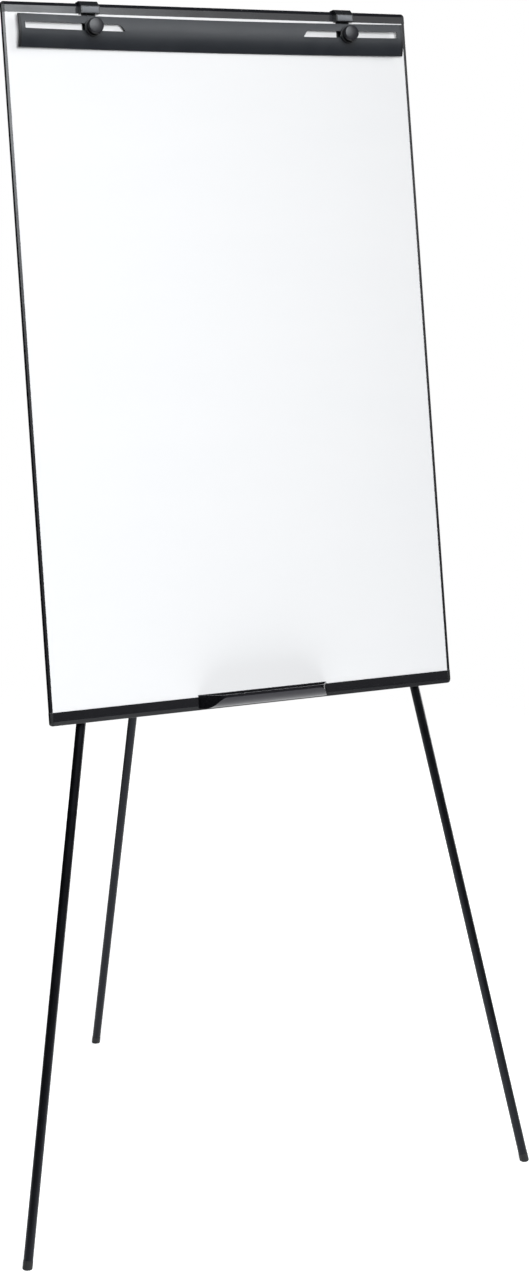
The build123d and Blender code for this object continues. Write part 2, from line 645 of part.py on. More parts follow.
def rear_hinge_pin():
    """The pin through the rear leg's head, with a head at each end."""
    half = HEAD_THICKNESS / 2 + EAR_GAP + EAR_THICKNESS
    pin = Cylinder(PIN_RADIUS, 2 * half)
    for side in (-1, 1):
        head = Pos(0, 0, side * (half + PIN_HEAD_HEIGHT / 2)) * Cylinder(PIN_HEAD_RADIUS, PIN_HEAD_HEIGHT)
        pin += fillet(head.edges().sort_by(Axis.Z)[-1 if side > 0 else 0], PIN_ROUNDING)
    return Pos(0, REAR_HINGE_DEPTH, REAR_HINGE_UP) * Rot(Y=90) * pin


def stop_frame(side):
    """Where a leg stop sits, in the board's frame, turned to match its leg."""
    return Pos(side * PIVOT_SPREAD, 0, PIVOT_UP) * Rot(Y=-side * LEG_SPLAY) * Pos(0, 0, -STOP_ALONG)


def stop_screw_places(side):
    """The x and z of a leg stop's two screws, in the board's frame."""
    places = [stop_frame(side) * Pos(-side * LOWER_TUBE_RADIUS, 0, up)
              for up in (-STOP_SCREW_UP, STOP_SCREW_UP)]
    return [(place.position.X, place.position.Z) for place in places]


def leg_stop(side):
    """An angle bracket whose upright flange the open leg rests against."""
    outer = LOWER_TUBE_RADIUS + STOP_GAP
    half = STOP_LENGTH / 2
    base_x = sorted((-side * STOP_BASE, side * (outer + STOP_THICKNESS)))
    flange_x = sorted((side * outer, side * (outer + STOP_THICKNESS)))
    depth = FRAME_DEPTH + STOP_THICKNESS
    angle = block(base_x, (FRAME_DEPTH, depth), (-half, half))
    angle += block(flange_x, (FRAME_DEPTH, STOP_DEPTH), (-half, half))
    angle = stop_frame(side) * angle
    for x, z in stop_screw_places(side):
        angle -= rod_along_y(x, z, FRAME_DEPTH, depth, SCREW_RADIUS)
    return angle


def leg_stop_screws():
    seat = FRAME_DEPTH + STOP_THICKNESS
    return [pan_screw(x, z, seat, -1) for side in (-1, 1) for x, z in stop_screw_places(side)]


def without_screws(shape, screws):
    """The shape with the screws' holes cut in it."""
    for screw in screws:
        shape -= screw
    return shape


# ---------------------------------------------------------------- the whole easel

def board_pieces():
    """Every piece drawn in the board's own frame."""
    tray_screws = [pan_screw(x, TRAY_SCREW_UP, -TRAY_WALL, 1) for x in tray_screw_places()]
    plate_screws = bracket_screws()
    stop_screws = leg_stop_screws()
    board_screws = tray_screws + plate_screws + stop_screws
    sheet_back = PANEL_FRONT + SHEET_THICKNESS
    core_back = PANEL_BACK - BACKING_THICKNESS
    pieces = {
        "whiteboard_sheet": without_screws(panel_layer(PANEL_FRONT, sheet_back), tray_screws),
        "board_core": without_screws(panel_layer(sheet_back, core_back), board_screws),
        "back_sheet": without_screws(panel_layer(core_back, PANEL_BACK), board_screws),
        "top_rail": at_top(rail(TOP_RAIL_HEIGHT, TOP_BEVEL_HEIGHT)),
        "bottom_rail": without_screws(rail(BOTTOM_RAIL_HEIGHT, BOTTOM_BEVEL_HEIGHT), tray_screws),
        "rail_end_caps": rail_end_caps(),
        "left_side_trim": side_trim(-1),
        "right_side_trim": side_trim(1),
        "pen_tray": pen_tray(),
        "pen_tray_screws": Compound(children=tray_screws),
        "clamp_bar": clamp_bar(),
        "clamp_bar_end_caps": clamp_bar_end_caps(),
        "leg_bracket_plate": bracket_plate(),
        "leg_bracket_yoke": bracket_yoke(),
        "leg_bracket_screws": Compound(children=plate_screws),
        "front_pivot_pins": front_pivot_pins(),
        "rear_hinge_pin": rear_hinge_pin(),
        "left_leg_stop": leg_stop(-1),
        "right_leg_stop": leg_stop(1),
        "leg_stop_screws": Compound(children=stop_screws),
    }
    for side, x in HANGER_PLACES.items():
        pieces[f"{side}_hanger_clip"] = hanger_clip(x)
        pieces[f"{side}_hanger_stud"] = hanger_stud(x)
        pieces[f"{side}_knob_washer"] = knob_washer(x)
        pieces[f"{side}_knob"] = knob(x)
        pieces[f"{side}_knob_insert"] = knob_insert(x)
    return pieces


def easel():
    """All the pieces in their places, before the origin is set."""
    pieces = {name: BOARD_FRAME * shape for name, shape in board_pieces().items()}
    for name, leg_frame in LEG_FRAMES.items():
        pieces.update(leg(name, leg_frame))
    return pieces


def middle_depth(pieces):
    """The y of the middle of the easel's bounding box."""
    boxes = [shape.bounding_box() for shape in pieces.values()]
    return (min(box.min.Y for box in boxes) + max(box.max.Y for box in boxes)) / 2


PIECES = easel()
TO_ORIGIN = Pos(0, -middle_depth(PIECES), 0)

os.makedirs("parts", exist_ok=True)
for node_name, piece in PIECES.items():
    export_step(TO_ORIGIN * piece, f"parts/{node_name}.step")
print(f"{len(PIECES)} nodes, moved {TO_ORIGIN.position.Y:.1f} mm along y to the origin")
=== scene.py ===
# %% [markdown]
# # A flipchart easel, dressed in Blender
#
# The easel comes in as a finished mechanical model: every node has its real shape, size and place, and it
# moves on real joints. What it lacks is how it looks. This lesson gives each part its finish, swaps a few
# plain parts for finer meshes, and sets up a bright studio.
#
# All sizes are in metres. The board leans back, so anything on it is easier to build in the board's own
# axes and then lean back in one step.

# %% Load the frame
import json
import math

import bmesh
import bpy
from mathutils import Matrix, Vector


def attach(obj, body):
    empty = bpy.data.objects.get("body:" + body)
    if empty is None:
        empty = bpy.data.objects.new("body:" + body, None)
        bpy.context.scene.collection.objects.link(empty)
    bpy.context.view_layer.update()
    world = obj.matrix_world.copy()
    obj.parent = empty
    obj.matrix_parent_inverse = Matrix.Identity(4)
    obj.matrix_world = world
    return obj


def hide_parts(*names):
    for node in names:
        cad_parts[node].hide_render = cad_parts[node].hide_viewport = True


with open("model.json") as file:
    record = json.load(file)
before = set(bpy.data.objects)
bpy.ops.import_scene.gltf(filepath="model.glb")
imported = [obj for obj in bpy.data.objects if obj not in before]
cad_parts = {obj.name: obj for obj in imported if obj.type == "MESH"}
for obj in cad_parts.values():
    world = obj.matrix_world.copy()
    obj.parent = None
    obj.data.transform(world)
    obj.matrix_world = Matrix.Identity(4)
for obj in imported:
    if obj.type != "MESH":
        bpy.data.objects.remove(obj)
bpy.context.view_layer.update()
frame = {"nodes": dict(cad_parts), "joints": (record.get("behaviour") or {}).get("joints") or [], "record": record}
joints = {joint["name"]: joint for joint in frame["joints"]}
MM = 0.001
SIDES = ("left", "right")

# %% [markdown]
# ## The board's axes
#
# The clamp bar slides straight off the board, so its joint's axis is the direction that the board faces.
# With that, "across", "back" and "up the board" are three unit vectors, and the lowest front edge of the
# bottom rail is a good origin. Measuring a node in these axes is far clearer than in the leaning world.

# %% Find the board's axes
FACING = Vector(joints["clamp_bar_slide"]["axis"]).normalized()
ACROSS = Vector((1, 0, 0))
UP_BOARD = FACING.cross(ACROSS)
LEANING = Matrix((ACROSS, -FACING, UP_BOARD)).transposed().to_4x4()


def node_points(name):
    return [vertex.co.copy() for vertex in frame["nodes"][name].data.vertices]


def spans(points):
    """The lowest and highest x, y and z of some points."""
    columns = list(zip(*points))
    return [min(column) for column in columns], [max(column) for column in columns]


front_edge = max(point.dot(FACING) for point in node_points("top_rail"))
lower_edge = min(point.dot(UP_BOARD) for point in node_points("bottom_rail"))
BOARD = LEANING.copy()
BOARD.translation = FACING * front_edge + UP_BOARD * lower_edge
TO_BOARD = BOARD.inverted()


def board_spans(name):
    """A node's extents in the board's axes: across, depth behind the front, and up."""
    return spans([TO_BOARD @ point for point in node_points(name)])


BOARD_TOP = board_spans("top_rail")[1][2]
print(f"board height {BOARD_TOP:.3f} m, leaning {math.degrees(math.asin(FACING.z)):.1f} degrees")

# %% [markdown]
# ## Small helpers for shader nodes
#
# A material is a small graph. Placing a node, giving it values and wiring it are the same three moves each
# time, so one helper does them. A socket given another node's output is wired, and anything else is a value.

# %% Place and wire a node
def place(tree, kind, inputs=None, **settings):
    """Adds a node, sets its own settings, and fills its inputs with values or wires."""
    made = tree.nodes.new(kind)
    for setting, value in settings.items():
        setattr(made, setting, value)
    for socket, value in (inputs or {}).items():
        if isinstance(value, bpy.types.NodeSocket):
            tree.links.new(value, made.inputs[socket])
        else:
            made.inputs[socket].default_value = value
    return made


def calculate(tree, operation, first, second=0.0):
    """A Math node's result."""
    return place(tree, "ShaderNodeMath", {0: first, 1: second}, operation=operation).outputs[0]


def spread(tree, value, low, high, new_low, new_high):
    """Stretches a value's range to a new one, and holds it there."""
    limits = {"Value": value, "From Min": low, "From Max": high, "To Min": new_low, "To Max": new_high}
    return place(tree, "ShaderNodeMapRange", limits).outputs["Result"]


def tinted(tree, amount, plain, marked):
    """A colour that goes from plain to marked as the amount grows."""
    colours = {0: amount, 6: (*plain, 1), 7: (*marked, 1)}
    return place(tree, "ShaderNodeMix", colours, data_type="RGBA").outputs[2]


def object_point(tree):
    return place(tree, "ShaderNodeTexCoord").outputs["Object"]


# %% [markdown]
# ## Effects that many finishes share
#
# Moulded plastic, powder coat and rubber differ in colour, but all of them have softened edges that catch
# the light, a fine skin, and faint marks from hands and dust. Each effect is a node group, built once and
# placed in each material with its own sizes. The groups give out only numbers and normals. The shader
# itself stays in each material, where an exporter can read it.

# %% Start a node group
def new_group(name, sizes, results):
    """An empty group with number inputs and the outputs named, and its two end nodes."""
    group = bpy.data.node_groups.new(name, "ShaderNodeTree")
    for label, value in sizes.items():
        group.interface.new_socket(label, in_out="INPUT", socket_type="NodeSocketFloat").default_value = value
    for label, kind in results.items():
        group.interface.new_socket(label, in_out="OUTPUT", socket_type=kind)
    return group, group.nodes.new("NodeGroupInput"), group.nodes.new("NodeGroupOutput")


# %% Softened and worn edges
def edge_group():
    """A normal that is rounded at edges, and a mask of where the finish has rubbed off them."""
    group, given, result = new_group(
        "edge_wear", {"Radius": 0.0005}, {"Normal": "NodeSocketVector", "Worn": "NodeSocketFloat"})
    rounded = place(group, "ShaderNodeBevel", {"Radius": given.outputs["Radius"]}, samples=6).outputs[0]
    flat = place(group, "ShaderNodeNewGeometry").outputs["Normal"]
    match = place(group, "ShaderNodeVectorMath", {0: rounded, 1: flat},
                  operation="DOT_PRODUCT").outputs["Value"]
    edge = spread(group, match, 0.999, 0.93, 0.0, 1.0)
    patches = place(group, "ShaderNodeTexNoise",
                    {"Vector": object_point(group), "Scale": 90.0, "Detail": 4.0})
    rubbed = spread(group, patches.outputs[0], 0.42, 0.68, 0.0, 1.0)
    group.links.new(rounded, result.inputs["Normal"])
    group.links.new(calculate(group, "MULTIPLY", edge, rubbed), result.inputs["Worn"])
    return group


EDGES = edge_group()
print("group:", EDGES.name)


# %% Skin of a moulded or coated surface
def skin_group():
    """Small rounded pebbles with a finer roughness on them; Size is a pebble's width."""
    group, given, result = new_group("fine_skin", {"Size": 0.0006}, {"Height": "NodeSocketFloat"})
    scale = calculate(group, "DIVIDE", 1.0, given.outputs["Size"])
    point = object_point(group)
    pebbles = place(group, "ShaderNodeTexVoronoi", {"Vector": point, "Scale": scale}, feature="SMOOTH_F1")
    dimples = place(group, "ShaderNodeTexNoise", {"Vector": point, "Scale": scale, "Detail": 3.0})
    mixed = calculate(group, "ADD", calculate(group, "MULTIPLY", pebbles.outputs["Distance"], 0.6),
                      calculate(group, "MULTIPLY", dimples.outputs[0], 0.4))
    group.links.new(mixed, result.inputs["Height"])
    return group


SKIN = skin_group()
print("group:", SKIN.name)


# %% Hand marks and dust
def handling_group():
    """Broad smears from hands, and dust where a surface looks upward."""
    group, given, result = new_group(
        "handling", {"Size": 0.06}, {"Smear": "NodeSocketFloat", "Dust": "NodeSocketFloat"})
    scale = calculate(group, "DIVIDE", 1.0, given.outputs["Size"])
    point = object_point(group)
    smear = place(group, "ShaderNodeTexNoise",
                  {"Vector": point, "Scale": scale, "Detail": 5.0, "Distortion": 1.2}).outputs[0]
    specks = place(group, "ShaderNodeTexNoise", {"Vector": point, "Scale": 900.0, "Detail": 4.0}).outputs[0]
    normal = place(group, "ShaderNodeNewGeometry").outputs["Normal"]
    upward = place(group, "ShaderNodeSeparateXYZ", {0: normal}).outputs["Z"]
    settled = calculate(group, "MULTIPLY", spread(group, upward, 0.6, 1.0, 0.0, 1.0),
                        spread(group, specks, 0.45, 0.75, 0.0, 1.0))
    group.links.new(spread(group, smear, 0.35, 0.7, 0.0, 1.0), result.inputs["Smear"])
    group.links.new(settled, result.inputs["Dust"])
    return group


HANDLING = handling_group()
print("group:", HANDLING.name)


# %% Drawn lines along a strip
def drawn_group():
    """Faint lines along x, as a die leaves on an extruded strip; Pitch is their spacing."""
    group, given, result = new_group("drawn_lines", {"Pitch": 0.0007}, {"Height": "NodeSocketFloat"})
    fine = calculate(group, "DIVIDE", 1.0, given.outputs["Pitch"])
    stretch = place(group, "ShaderNodeCombineXYZ", {"X": 3.0, "Y": fine, "Z": fine}).outputs[0]
    point = place(group, "ShaderNodeVectorMath", {0: object_point(group), 1: stretch}, operation="MULTIPLY")
    lines = place(group, "ShaderNodeTexNoise", {"Vector": point.outputs[0], "Scale": 1.0, "Detail": 2.0})
    group.links.new(lines.outputs[0], result.inputs["Height"])
    return group


DRAWN = drawn_group()
print("group:", DRAWN.name)


# %% [markdown]
# ## One recipe for moulded and coated parts
#
# Nearly everything on the easel is black, yet no two blacks are alike: the clamp bar is satin and bluish,
# the clips are grained, and the legs are a thick powder coat. The recipe keeps the parts that are
# the same - worn edges, skin, smears, dust - and each finish gives its own colours, gloss and sizes.

# %% Start a material
materials = {}


def new_material(slot):
    """An empty material for one of the record's slots, and its Principled shader."""
    material = bpy.data.materials.new(slot)
    material.use_nodes = True
    tree = material.node_tree
    materials[slot] = material
    return tree, tree.nodes["Principled BSDF"]


def use_group(tree, group, **sizes):
    placed = place(tree, "ShaderNodeGroup", node_tree=group)
    for label, value in sizes.items():
        placed.inputs[label].default_value = value
    return placed.outputs


# %% The coated recipe
DUST_COLOUR = (0.30, 0.29, 0.28)


def coated(slot, colour, worn_colour, gloss, skin, depth, edge=0.0005, wear=0.6, dust=0.12, lines=0.0):
    """A coloured skin: gloss is a pair of roughnesses, clean and smeared; skin and depth size its pebbles."""
    tree, shader = new_material(slot)
    edges = use_group(tree, EDGES, Radius=edge)
    marks = use_group(tree, HANDLING)
    height = use_group(tree, SKIN, Size=skin)["Height"]
    if lines:
        height = calculate(tree, "ADD", calculate(tree, "MULTIPLY", height, 0.4),
                           use_group(tree, DRAWN, Pitch=lines)["Height"])
    worn = calculate(tree, "MULTIPLY", edges["Worn"], wear)
    rubbed = tinted(tree, worn, colour, worn_colour)
    dusted = place(tree, "ShaderNodeMix",
                   {0: calculate(tree, "MULTIPLY", marks["Dust"], dust), 6: rubbed, 7: (*DUST_COLOUR, 1)},
                   data_type="RGBA").outputs[2]
    bump = place(tree, "ShaderNodeBump",
                 {"Height": height, "Distance": depth, "Strength": 0.8, "Normal": edges["Normal"]})
    tree.links.new(dusted, shader.inputs["Base Color"])
    tree.links.new(spread(tree, marks["Smear"], 0.0, 1.0, *gloss), shader.inputs["Roughness"])
    tree.links.new(bump.outputs[0], shader.inputs["Normal"])
    return shader


# %% [markdown]
# ## The black plastics
#
# The rails are extruded strips: satin, with faint lines along them. The clamp bar is the same kind of strip
# but rougher. Caps, collars and thumb screws are moulded with a fine matt skin. The hanger clips are coarser,
# the knobs have a leathery dome, and the tray is smooth with a lilac cast.

# %% Finish the plastics
coated("frame", (0.005, 0.005, 0.007), (0.075, 0.075, 0.08), (0.17, 0.25), 0.0006, 0.00002, lines=0.0007)
coated("clamp_bar", (0.014, 0.0155, 0.019), (0.08, 0.085, 0.09), (0.37, 0.45), 0.0005, 0.00003, lines=0.0009)
coated("moulded_black", (0.006, 0.006, 0.007), (0.07, 0.07, 0.07), (0.40, 0.50), 0.0005, 0.00008)
coated("clip_plastic", (0.007, 0.0075, 0.009), (0.09, 0.09, 0.095), (0.24, 0.32), 0.0007, 0.00008, dust=0.03)
coated("knob", (0.010, 0.010, 0.013), (0.09, 0.09, 0.095), (0.34, 0.44), 0.0006, 0.00014)
tray = coated("tray", (0.003, 0.003, 0.004), (0.05, 0.05, 0.055), (0.22, 0.30), 0.0005, 0.00002, dust=0.08)
tray.inputs["Specular Tint"].default_value = (0.92, 0.89, 1.0, 1)
print("plastics:", sorted(materials))

# %% [markdown]
# ## Painted legs and bracket
#
# The legs are steel tube in a thick black powder coat. Seen close, such a coat is never flat: it has the
# slow ripple of orange peel, about 2 mm across. The bracket's coat is finer and more matt. The paint rubs
# through to bare steel on its edges. The feet are black rubber, rougher than either.

# %% Finish the painted steel
legs = coated("leg_paint", (0.0015, 0.0015, 0.002), (0.16, 0.16, 0.17), (0.30, 0.40),
              0.0022, 0.00006, wear=0.3)
legs.inputs["Specular IOR Level"].default_value = 0.34
legs.inputs["Specular Tint"].default_value = (0.82, 0.86, 1.0, 1)
coated("bracket_paint", (0.012, 0.012, 0.014), (0.20, 0.20, 0.21), (0.42, 0.52), 0.0016, 0.00006, wear=0.7)
coated("foot_rubber", (0.003, 0.003, 0.004), (0.04, 0.04, 0.04), (0.50, 0.62), 0.0004, 0.00006, dust=0.08)
print("painted:", len(materials), "materials so far")


# %% [markdown]
# ## Bare metals
#
# Screws, pins and studs are zinc plated: bluish, slightly cloudy, with a crystal-like mottle in the gloss.
# The knobs' inserts are turned brass, with the same fine lines along x as the other metals. The sheet behind the
# board is dull rolled aluminium with lines along it.

# %% Finish the metals
def metal(slot, colour, stained, gloss, mottle_size, line_pitch):
    """A bare metal with a mottled stain and gloss, and fine lines along x."""
    tree, shader = new_material(slot)
    edges = use_group(tree, EDGES, Radius=0.0003)
    point = object_point(tree)
    mottle = place(tree, "ShaderNodeTexVoronoi",
                   {"Vector": point, "Scale": 1 / mottle_size}).outputs["Distance"]
    cloud = place(tree, "ShaderNodeTexNoise", {"Vector": point, "Scale": 0.3 / mottle_size, "Detail": 4.0})
    stain = calculate(tree, "MULTIPLY", spread(tree, cloud.outputs[0], 0.4, 0.7, 0.0, 1.0), 0.7)
    bump = place(tree, "ShaderNodeBump", {
        "Height": use_group(tree, DRAWN, Pitch=line_pitch)["Height"],
        "Distance": 0.00002, "Strength": 0.7, "Normal": edges["Normal"]})
    tree.links.new(tinted(tree, stain, colour, stained), shader.inputs["Base Color"])
    tree.links.new(spread(tree, mottle, 0.0, 0.8, *gloss), shader.inputs["Roughness"])
    tree.links.new(bump.outputs[0], shader.inputs["Normal"])
    shader.inputs["Metallic"].default_value = 1.0
    return shader


metal("plated_steel", (0.60, 0.61, 0.64), (0.45, 0.46, 0.50), (0.24, 0.42), 0.0016, 0.0004)
metal("brass", (0.70, 0.50, 0.22), (0.52, 0.36, 0.16), (0.22, 0.38), 0.0014, 0.0003)
metal("backing", (0.50, 0.51, 0.53), (0.40, 0.41, 0.43), (0.42, 0.58), 0.02, 0.0011)
print("metals done:", len(materials), "materials")


# %% [markdown]
# ## The writing surface
#
# A whiteboard is white lacquer under a hard gloss. A used one is never quite clean: the eraser leaves long,
# faint grey wipes, mostly sideways, and the lacquer has a gentle ripple that bends reflections. Both are far
# too weak to read as a pattern, yet without them the board looks like paper.

# %% Finish the whiteboard
CLEAN_WHITE = (0.86, 0.87, 0.885)
WIPED_WHITE = (0.845, 0.858, 0.876)


def white_lacquer():
    tree, shader = new_material("board_enamel")
    stretch = place(tree, "ShaderNodeMapping", {"Vector": object_point(tree), "Scale": (1.2, 5.0, 5.0),
                                                "Rotation": (0.0, math.radians(14), 0.0)}).outputs[0]
    wipes = place(tree, "ShaderNodeTexNoise",
                  {"Vector": stretch, "Scale": 3.0, "Detail": 3.0, "Distortion": 0.2}).outputs[0]
    residue = spread(tree, wipes, 0.15, 0.85, 0.0, 1.0)
    ripple = place(tree, "ShaderNodeTexNoise",
                   {"Vector": object_point(tree), "Scale": 9.0, "Detail": 1.0}).outputs[0]
    bump = place(tree, "ShaderNodeBump", {"Height": ripple, "Distance": 0.0006, "Strength": 0.35})
    lacquer = tinted(tree, residue, CLEAN_WHITE, WIPED_WHITE)
    tree.links.new(lacquer, shader.inputs["Base Color"])
    tree.links.new(spread(tree, wipes, 0.15, 0.85, 0.23, 0.28), shader.inputs["Roughness"])
    tree.links.new(bump.outputs[0], shader.inputs["Normal"])
    shader.inputs["Coat Weight"].default_value = 0.25
    shader.inputs["Coat Roughness"].default_value = 0.12


white_lacquer()
print("whiteboard done")


# %% [markdown]
# ## The board's core
#
# Between the two skins is pressed fibreboard. Its cut edge only shows inside the rails, so a speckle of
# light and dark fibres is all that it needs.

# %% Finish the core
def fibreboard():
    tree, shader = new_material("board_core")
    fibres = place(tree, "ShaderNodeTexNoise", {"Vector": object_point(tree), "Scale": 1400.0, "Detail": 6.0})
    bump = place(tree, "ShaderNodeBump", {"Height": fibres.outputs[0], "Distance": 0.0002})
    amount = spread(tree, fibres.outputs[0], 0.35, 0.65, 0.0, 1.0)
    tree.links.new(tinted(tree, amount, (0.50, 0.38, 0.26), (0.30, 0.21, 0.13)), shader.inputs["Base Color"])
    tree.links.new(bump.outputs[0], shader.inputs["Normal"])
    shader.inputs["Roughness"].default_value = 0.85


fibreboard()

# %% Give every node its finish
for part in frame["record"]["subparts"]:
    node_mesh = frame["nodes"][part["node"]].data
    node_mesh.materials.clear()
    node_mesh.materials.append(materials[part["material_slot"]])

# %% [markdown]
# ## Building a piece and putting it in place
#
# Each new piece is shaped in a handy frame - a knob along its own axis, the tray in the board's axes - and
# its mesh is then moved to its place, so that the object itself stays at the origin. It takes its material
# from a slot, rides on the body of the part that it belongs to, and may stand in for a plain node.

# %% Put a piece in place
def finish_piece(name, shape, where, slot, body, stands_for=(), finish=None):
    """Makes a bmesh into a piece at its place; its finish is its slot's, unless another one is given."""
    bmesh.ops.remove_doubles(shape, verts=shape.verts, dist=1e-6)
    bmesh.ops.recalc_face_normals(shape, faces=shape.faces)
    for face in shape.faces:
        face.smooth = True
    bmesh.ops.transform(shape, matrix=where, verts=shape.verts)
    mesh = bpy.data.meshes.new(name)
    shape.to_mesh(mesh)
    shape.free()
    mesh.materials.append(materials[finish or slot])
    piece = bpy.data.objects.new(name, mesh)
    bpy.context.scene.collection.objects.link(piece)
    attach(piece, body)
    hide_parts(*stands_for)
    print(f"{name}: {len(mesh.polygons)} faces on {body}")
    return piece


def sharp_by_angle(piece, degrees=35):
    """Keeps edges crisp where faces meet at more than an angle."""
    piece.data.set_sharp_from_angle(angle=math.radians(degrees))


# %% Shape helpers
def spun(outline, steps):
    """A shape spun about z from (radius, height) points."""
    shape = bmesh.new()
    rim = [shape.verts.new((radius, 0, height)) for radius, height in outline]
    edges = [shape.edges.new(pair) for pair in zip(rim, rim[1:])]
    bmesh.ops.spin(shape, geom=rim + edges, cent=(0, 0, 0), axis=(0, 0, 1), dvec=(0, 0, 0),
                   angle=math.tau, steps=steps, use_merge=True, use_duplicate=False)
    return shape


def add_block(shape, middle, size, softening):
    """Adds a box with rounded edges to a shape, from its middle and its three sizes."""
    where = Matrix.Translation(middle) @ Matrix.Diagonal((*size, 1))
    corners = bmesh.ops.create_cube(shape, size=1.0, matrix=where)["verts"]
    edges = {edge for corner in corners for edge in corner.link_edges}
    bmesh.ops.bevel(shape, geom=list(edges), offset=softening, offset_type="OFFSET", affect="EDGES",
                    segments=2, profile=0.5, material=-1, clamp_overlap=True)


def facing_frame(joint_name):
    """A frame at a knob's joint, with z along the direction that the board faces."""
    turned = Matrix((ACROSS, FACING.cross(ACROSS), FACING)).transposed().to_4x4()
    return Matrix.Translation(joints[joint_name]["pos_m"]) @ turned


# %% [markdown]
# ## The knobs
#
# A knob is a turned form: a narrow fluted waist for the fingers under a wide skirted cap with a low dome.
# Spinning a half outline about the axis makes it in one move. The waist's flutes are then pressed in by
# pulling its rings of vertices towards the axis, once for each flute. The knob's own joint says where its
# axis is.

# %% Shape a knob
FLUTES = 14
FLUTE_DEPTH = 0.9 * MM
FACE = 0.8 * MM
STEPS_ROUND = FLUTES * 8
WAIST = 9.6 * MM
SKIRT = 12.4 * MM
CAP = 11.5 * MM
BORE = 4.55 * MM
BACK = 2.08 * MM
WAIST_END = 9.0 * MM
CAP_START = 14.0 * MM
DOME = 1.6 * MM
SOFT = 0.5 * MM
WAIST_STEPS = 8
DOME_STEPS = 10


def knob_outline():
    """The half outline, as (radius, height) from the bore out and up to the crown."""
    rising = [(WAIST, BACK + SOFT + (WAIST_END - BACK - SOFT) * step / WAIST_STEPS)
              for step in range(WAIST_STEPS + 1)]
    dome = [(CAP - SOFT) * (1 - step / DOME_STEPS) for step in range(DOME_STEPS + 1)]
    curve = [(radius, CAP_START + DOME * (1 - (radius / CAP) ** 2)) for radius in dome]
    return ([(BORE, BACK), (WAIST - SOFT, BACK)] + rising
            + [(SKIRT - SOFT, WAIST_END), (SKIRT, WAIST_END + SOFT), (SKIRT - 0.1 * MM, WAIST_END + 2 * SOFT),
               (CAP + 0.1 * MM, CAP_START - SOFT), (CAP, CAP_START - 0.4 * SOFT)] + curve)


def press_flutes(shape):
    """Pulls the waist's vertices in, once for each flute."""
    for vertex in shape.verts:
        radius = math.hypot(vertex.co.x, vertex.co.y)
        if radius < WAIST - SOFT / 2 or vertex.co.z > WAIST_END - SOFT / 2 or vertex.co.z < BACK + SOFT / 2:
            continue
        turn = math.atan2(vertex.co.y, vertex.co.x) * FLUTES
        pressed = FLUTE_DEPTH * max(0.0, math.cos(turn)) ** 2
        vertex.co.x *= 1 - pressed / radius
        vertex.co.y *= 1 - pressed / radius


# %% Make both knobs
for side in SIDES:
    knob = spun(knob_outline(), STEPS_ROUND)
    bore_rim = [edge for edge in knob.edges if edge.is_boundary]
    walls = bmesh.ops.extrude_edge_only(knob, edges=bore_rim)
    bore_end = [item for item in walls["geom"] if isinstance(item, bmesh.types.BMVert)]
    bmesh.ops.translate(knob, verts=bore_end, vec=(0, 0, CAP_START - FACE - BACK))
    bmesh.ops.holes_fill(knob, edges=[edge for edge in knob.edges if edge.is_boundary], sides=0)
    press_flutes(knob)
    sharp_by_angle(finish_piece(f"{side}_knob_cap", knob, facing_frame(f"{side}_knob_turn"), "knob",
                                f"{side}_knob", (f"{side}_knob",)))

# %% [markdown]
# ## The threaded studs
#
# The knob runs on a stud with a 2 mm thread. A thread is a small wedge that climbs as it goes round, which is
# what a spin with a step along its axis makes. The shaft under it is spun in the ordinary way, with its
# tail, which is pressed in the clip's tongue, and its shoulder.

# %% Shape a stud
THREAD_RADIUS = 3.0 * MM
THREAD_ROOT = 2.35 * MM
THREAD_PITCH = 2.0 * MM
THREAD_OVERLAP = 0.1 * MM      # how far the wedge goes into the shaft
TAIL_RADIUS = 2.95 * MM
TAIL_LENGTH = 2.5 * MM
SHOULDER_RADIUS = 5.0 * MM
SHOULDER_LENGTH = 1.5 * MM
CHAMFER = 0.8 * MM
STEPS_PER_TURN = 32


def stud_outline(low, high):
    """The half outline of the tail, the shoulder and the thread's root, between two heights."""
    seat = low + TAIL_LENGTH
    shoulder = seat + SHOULDER_LENGTH
    soft = 0.2 * MM
    tail = [(0, low), (TAIL_RADIUS - soft, low), (TAIL_RADIUS, low + soft), (TAIL_RADIUS, seat)]
    collar = [(SHOULDER_RADIUS - soft, seat), (SHOULDER_RADIUS, seat + soft),
              (SHOULDER_RADIUS, shoulder - soft), (SHOULDER_RADIUS - soft, shoulder)]
    shaft = [(THREAD_ROOT, shoulder), (THREAD_ROOT, high - soft), (THREAD_ROOT - soft, high), (0, high)]
    return tail + collar + shaft


def add_thread(shape, low, high):
    """Adds a wedge that climbs round z from one height to another."""
    turns = int((high - low) / THREAD_PITCH - 0.9)
    root = THREAD_ROOT - THREAD_OVERLAP
    wedge = [(root, 0.1), (THREAD_RADIUS, 0.42), (THREAD_RADIUS, 0.58), (root, 0.9)]
    corners = [shape.verts.new((radius, 0, low + part * THREAD_PITCH)) for radius, part in wedge]
    face = shape.faces.new(corners)
    rise = THREAD_PITCH / STEPS_PER_TURN
    bmesh.ops.spin(shape, geom=[face, *face.edges, *corners], cent=(0, 0, 0), axis=(0, 0, 1),
                   dvec=(0, 0, rise), angle=math.tau * turns, steps=STEPS_PER_TURN * turns,
                   use_merge=False, use_duplicate=False)
    bmesh.ops.holes_fill(shape, edges=[edge for edge in shape.edges if edge.is_boundary], sides=4)


# %% Make both studs
for side in SIDES:
    place_on_axis = facing_frame(f"{side}_knob_turn")
    heights = [(place_on_axis.inverted() @ point).z for point in node_points(f"{side}_hanger_stud")]
    stud = spun(stud_outline(min(heights), max(heights)), STEPS_PER_TURN)
    add_thread(stud, min(heights) + TAIL_LENGTH + SHOULDER_LENGTH, max(heights) - CHAMFER)
    sharp_by_angle(finish_piece(f"{side}_threaded_stud", stud, place_on_axis, "plated_steel",
                                f"{side}_hanger", (f"{side}_hanger_stud",)))

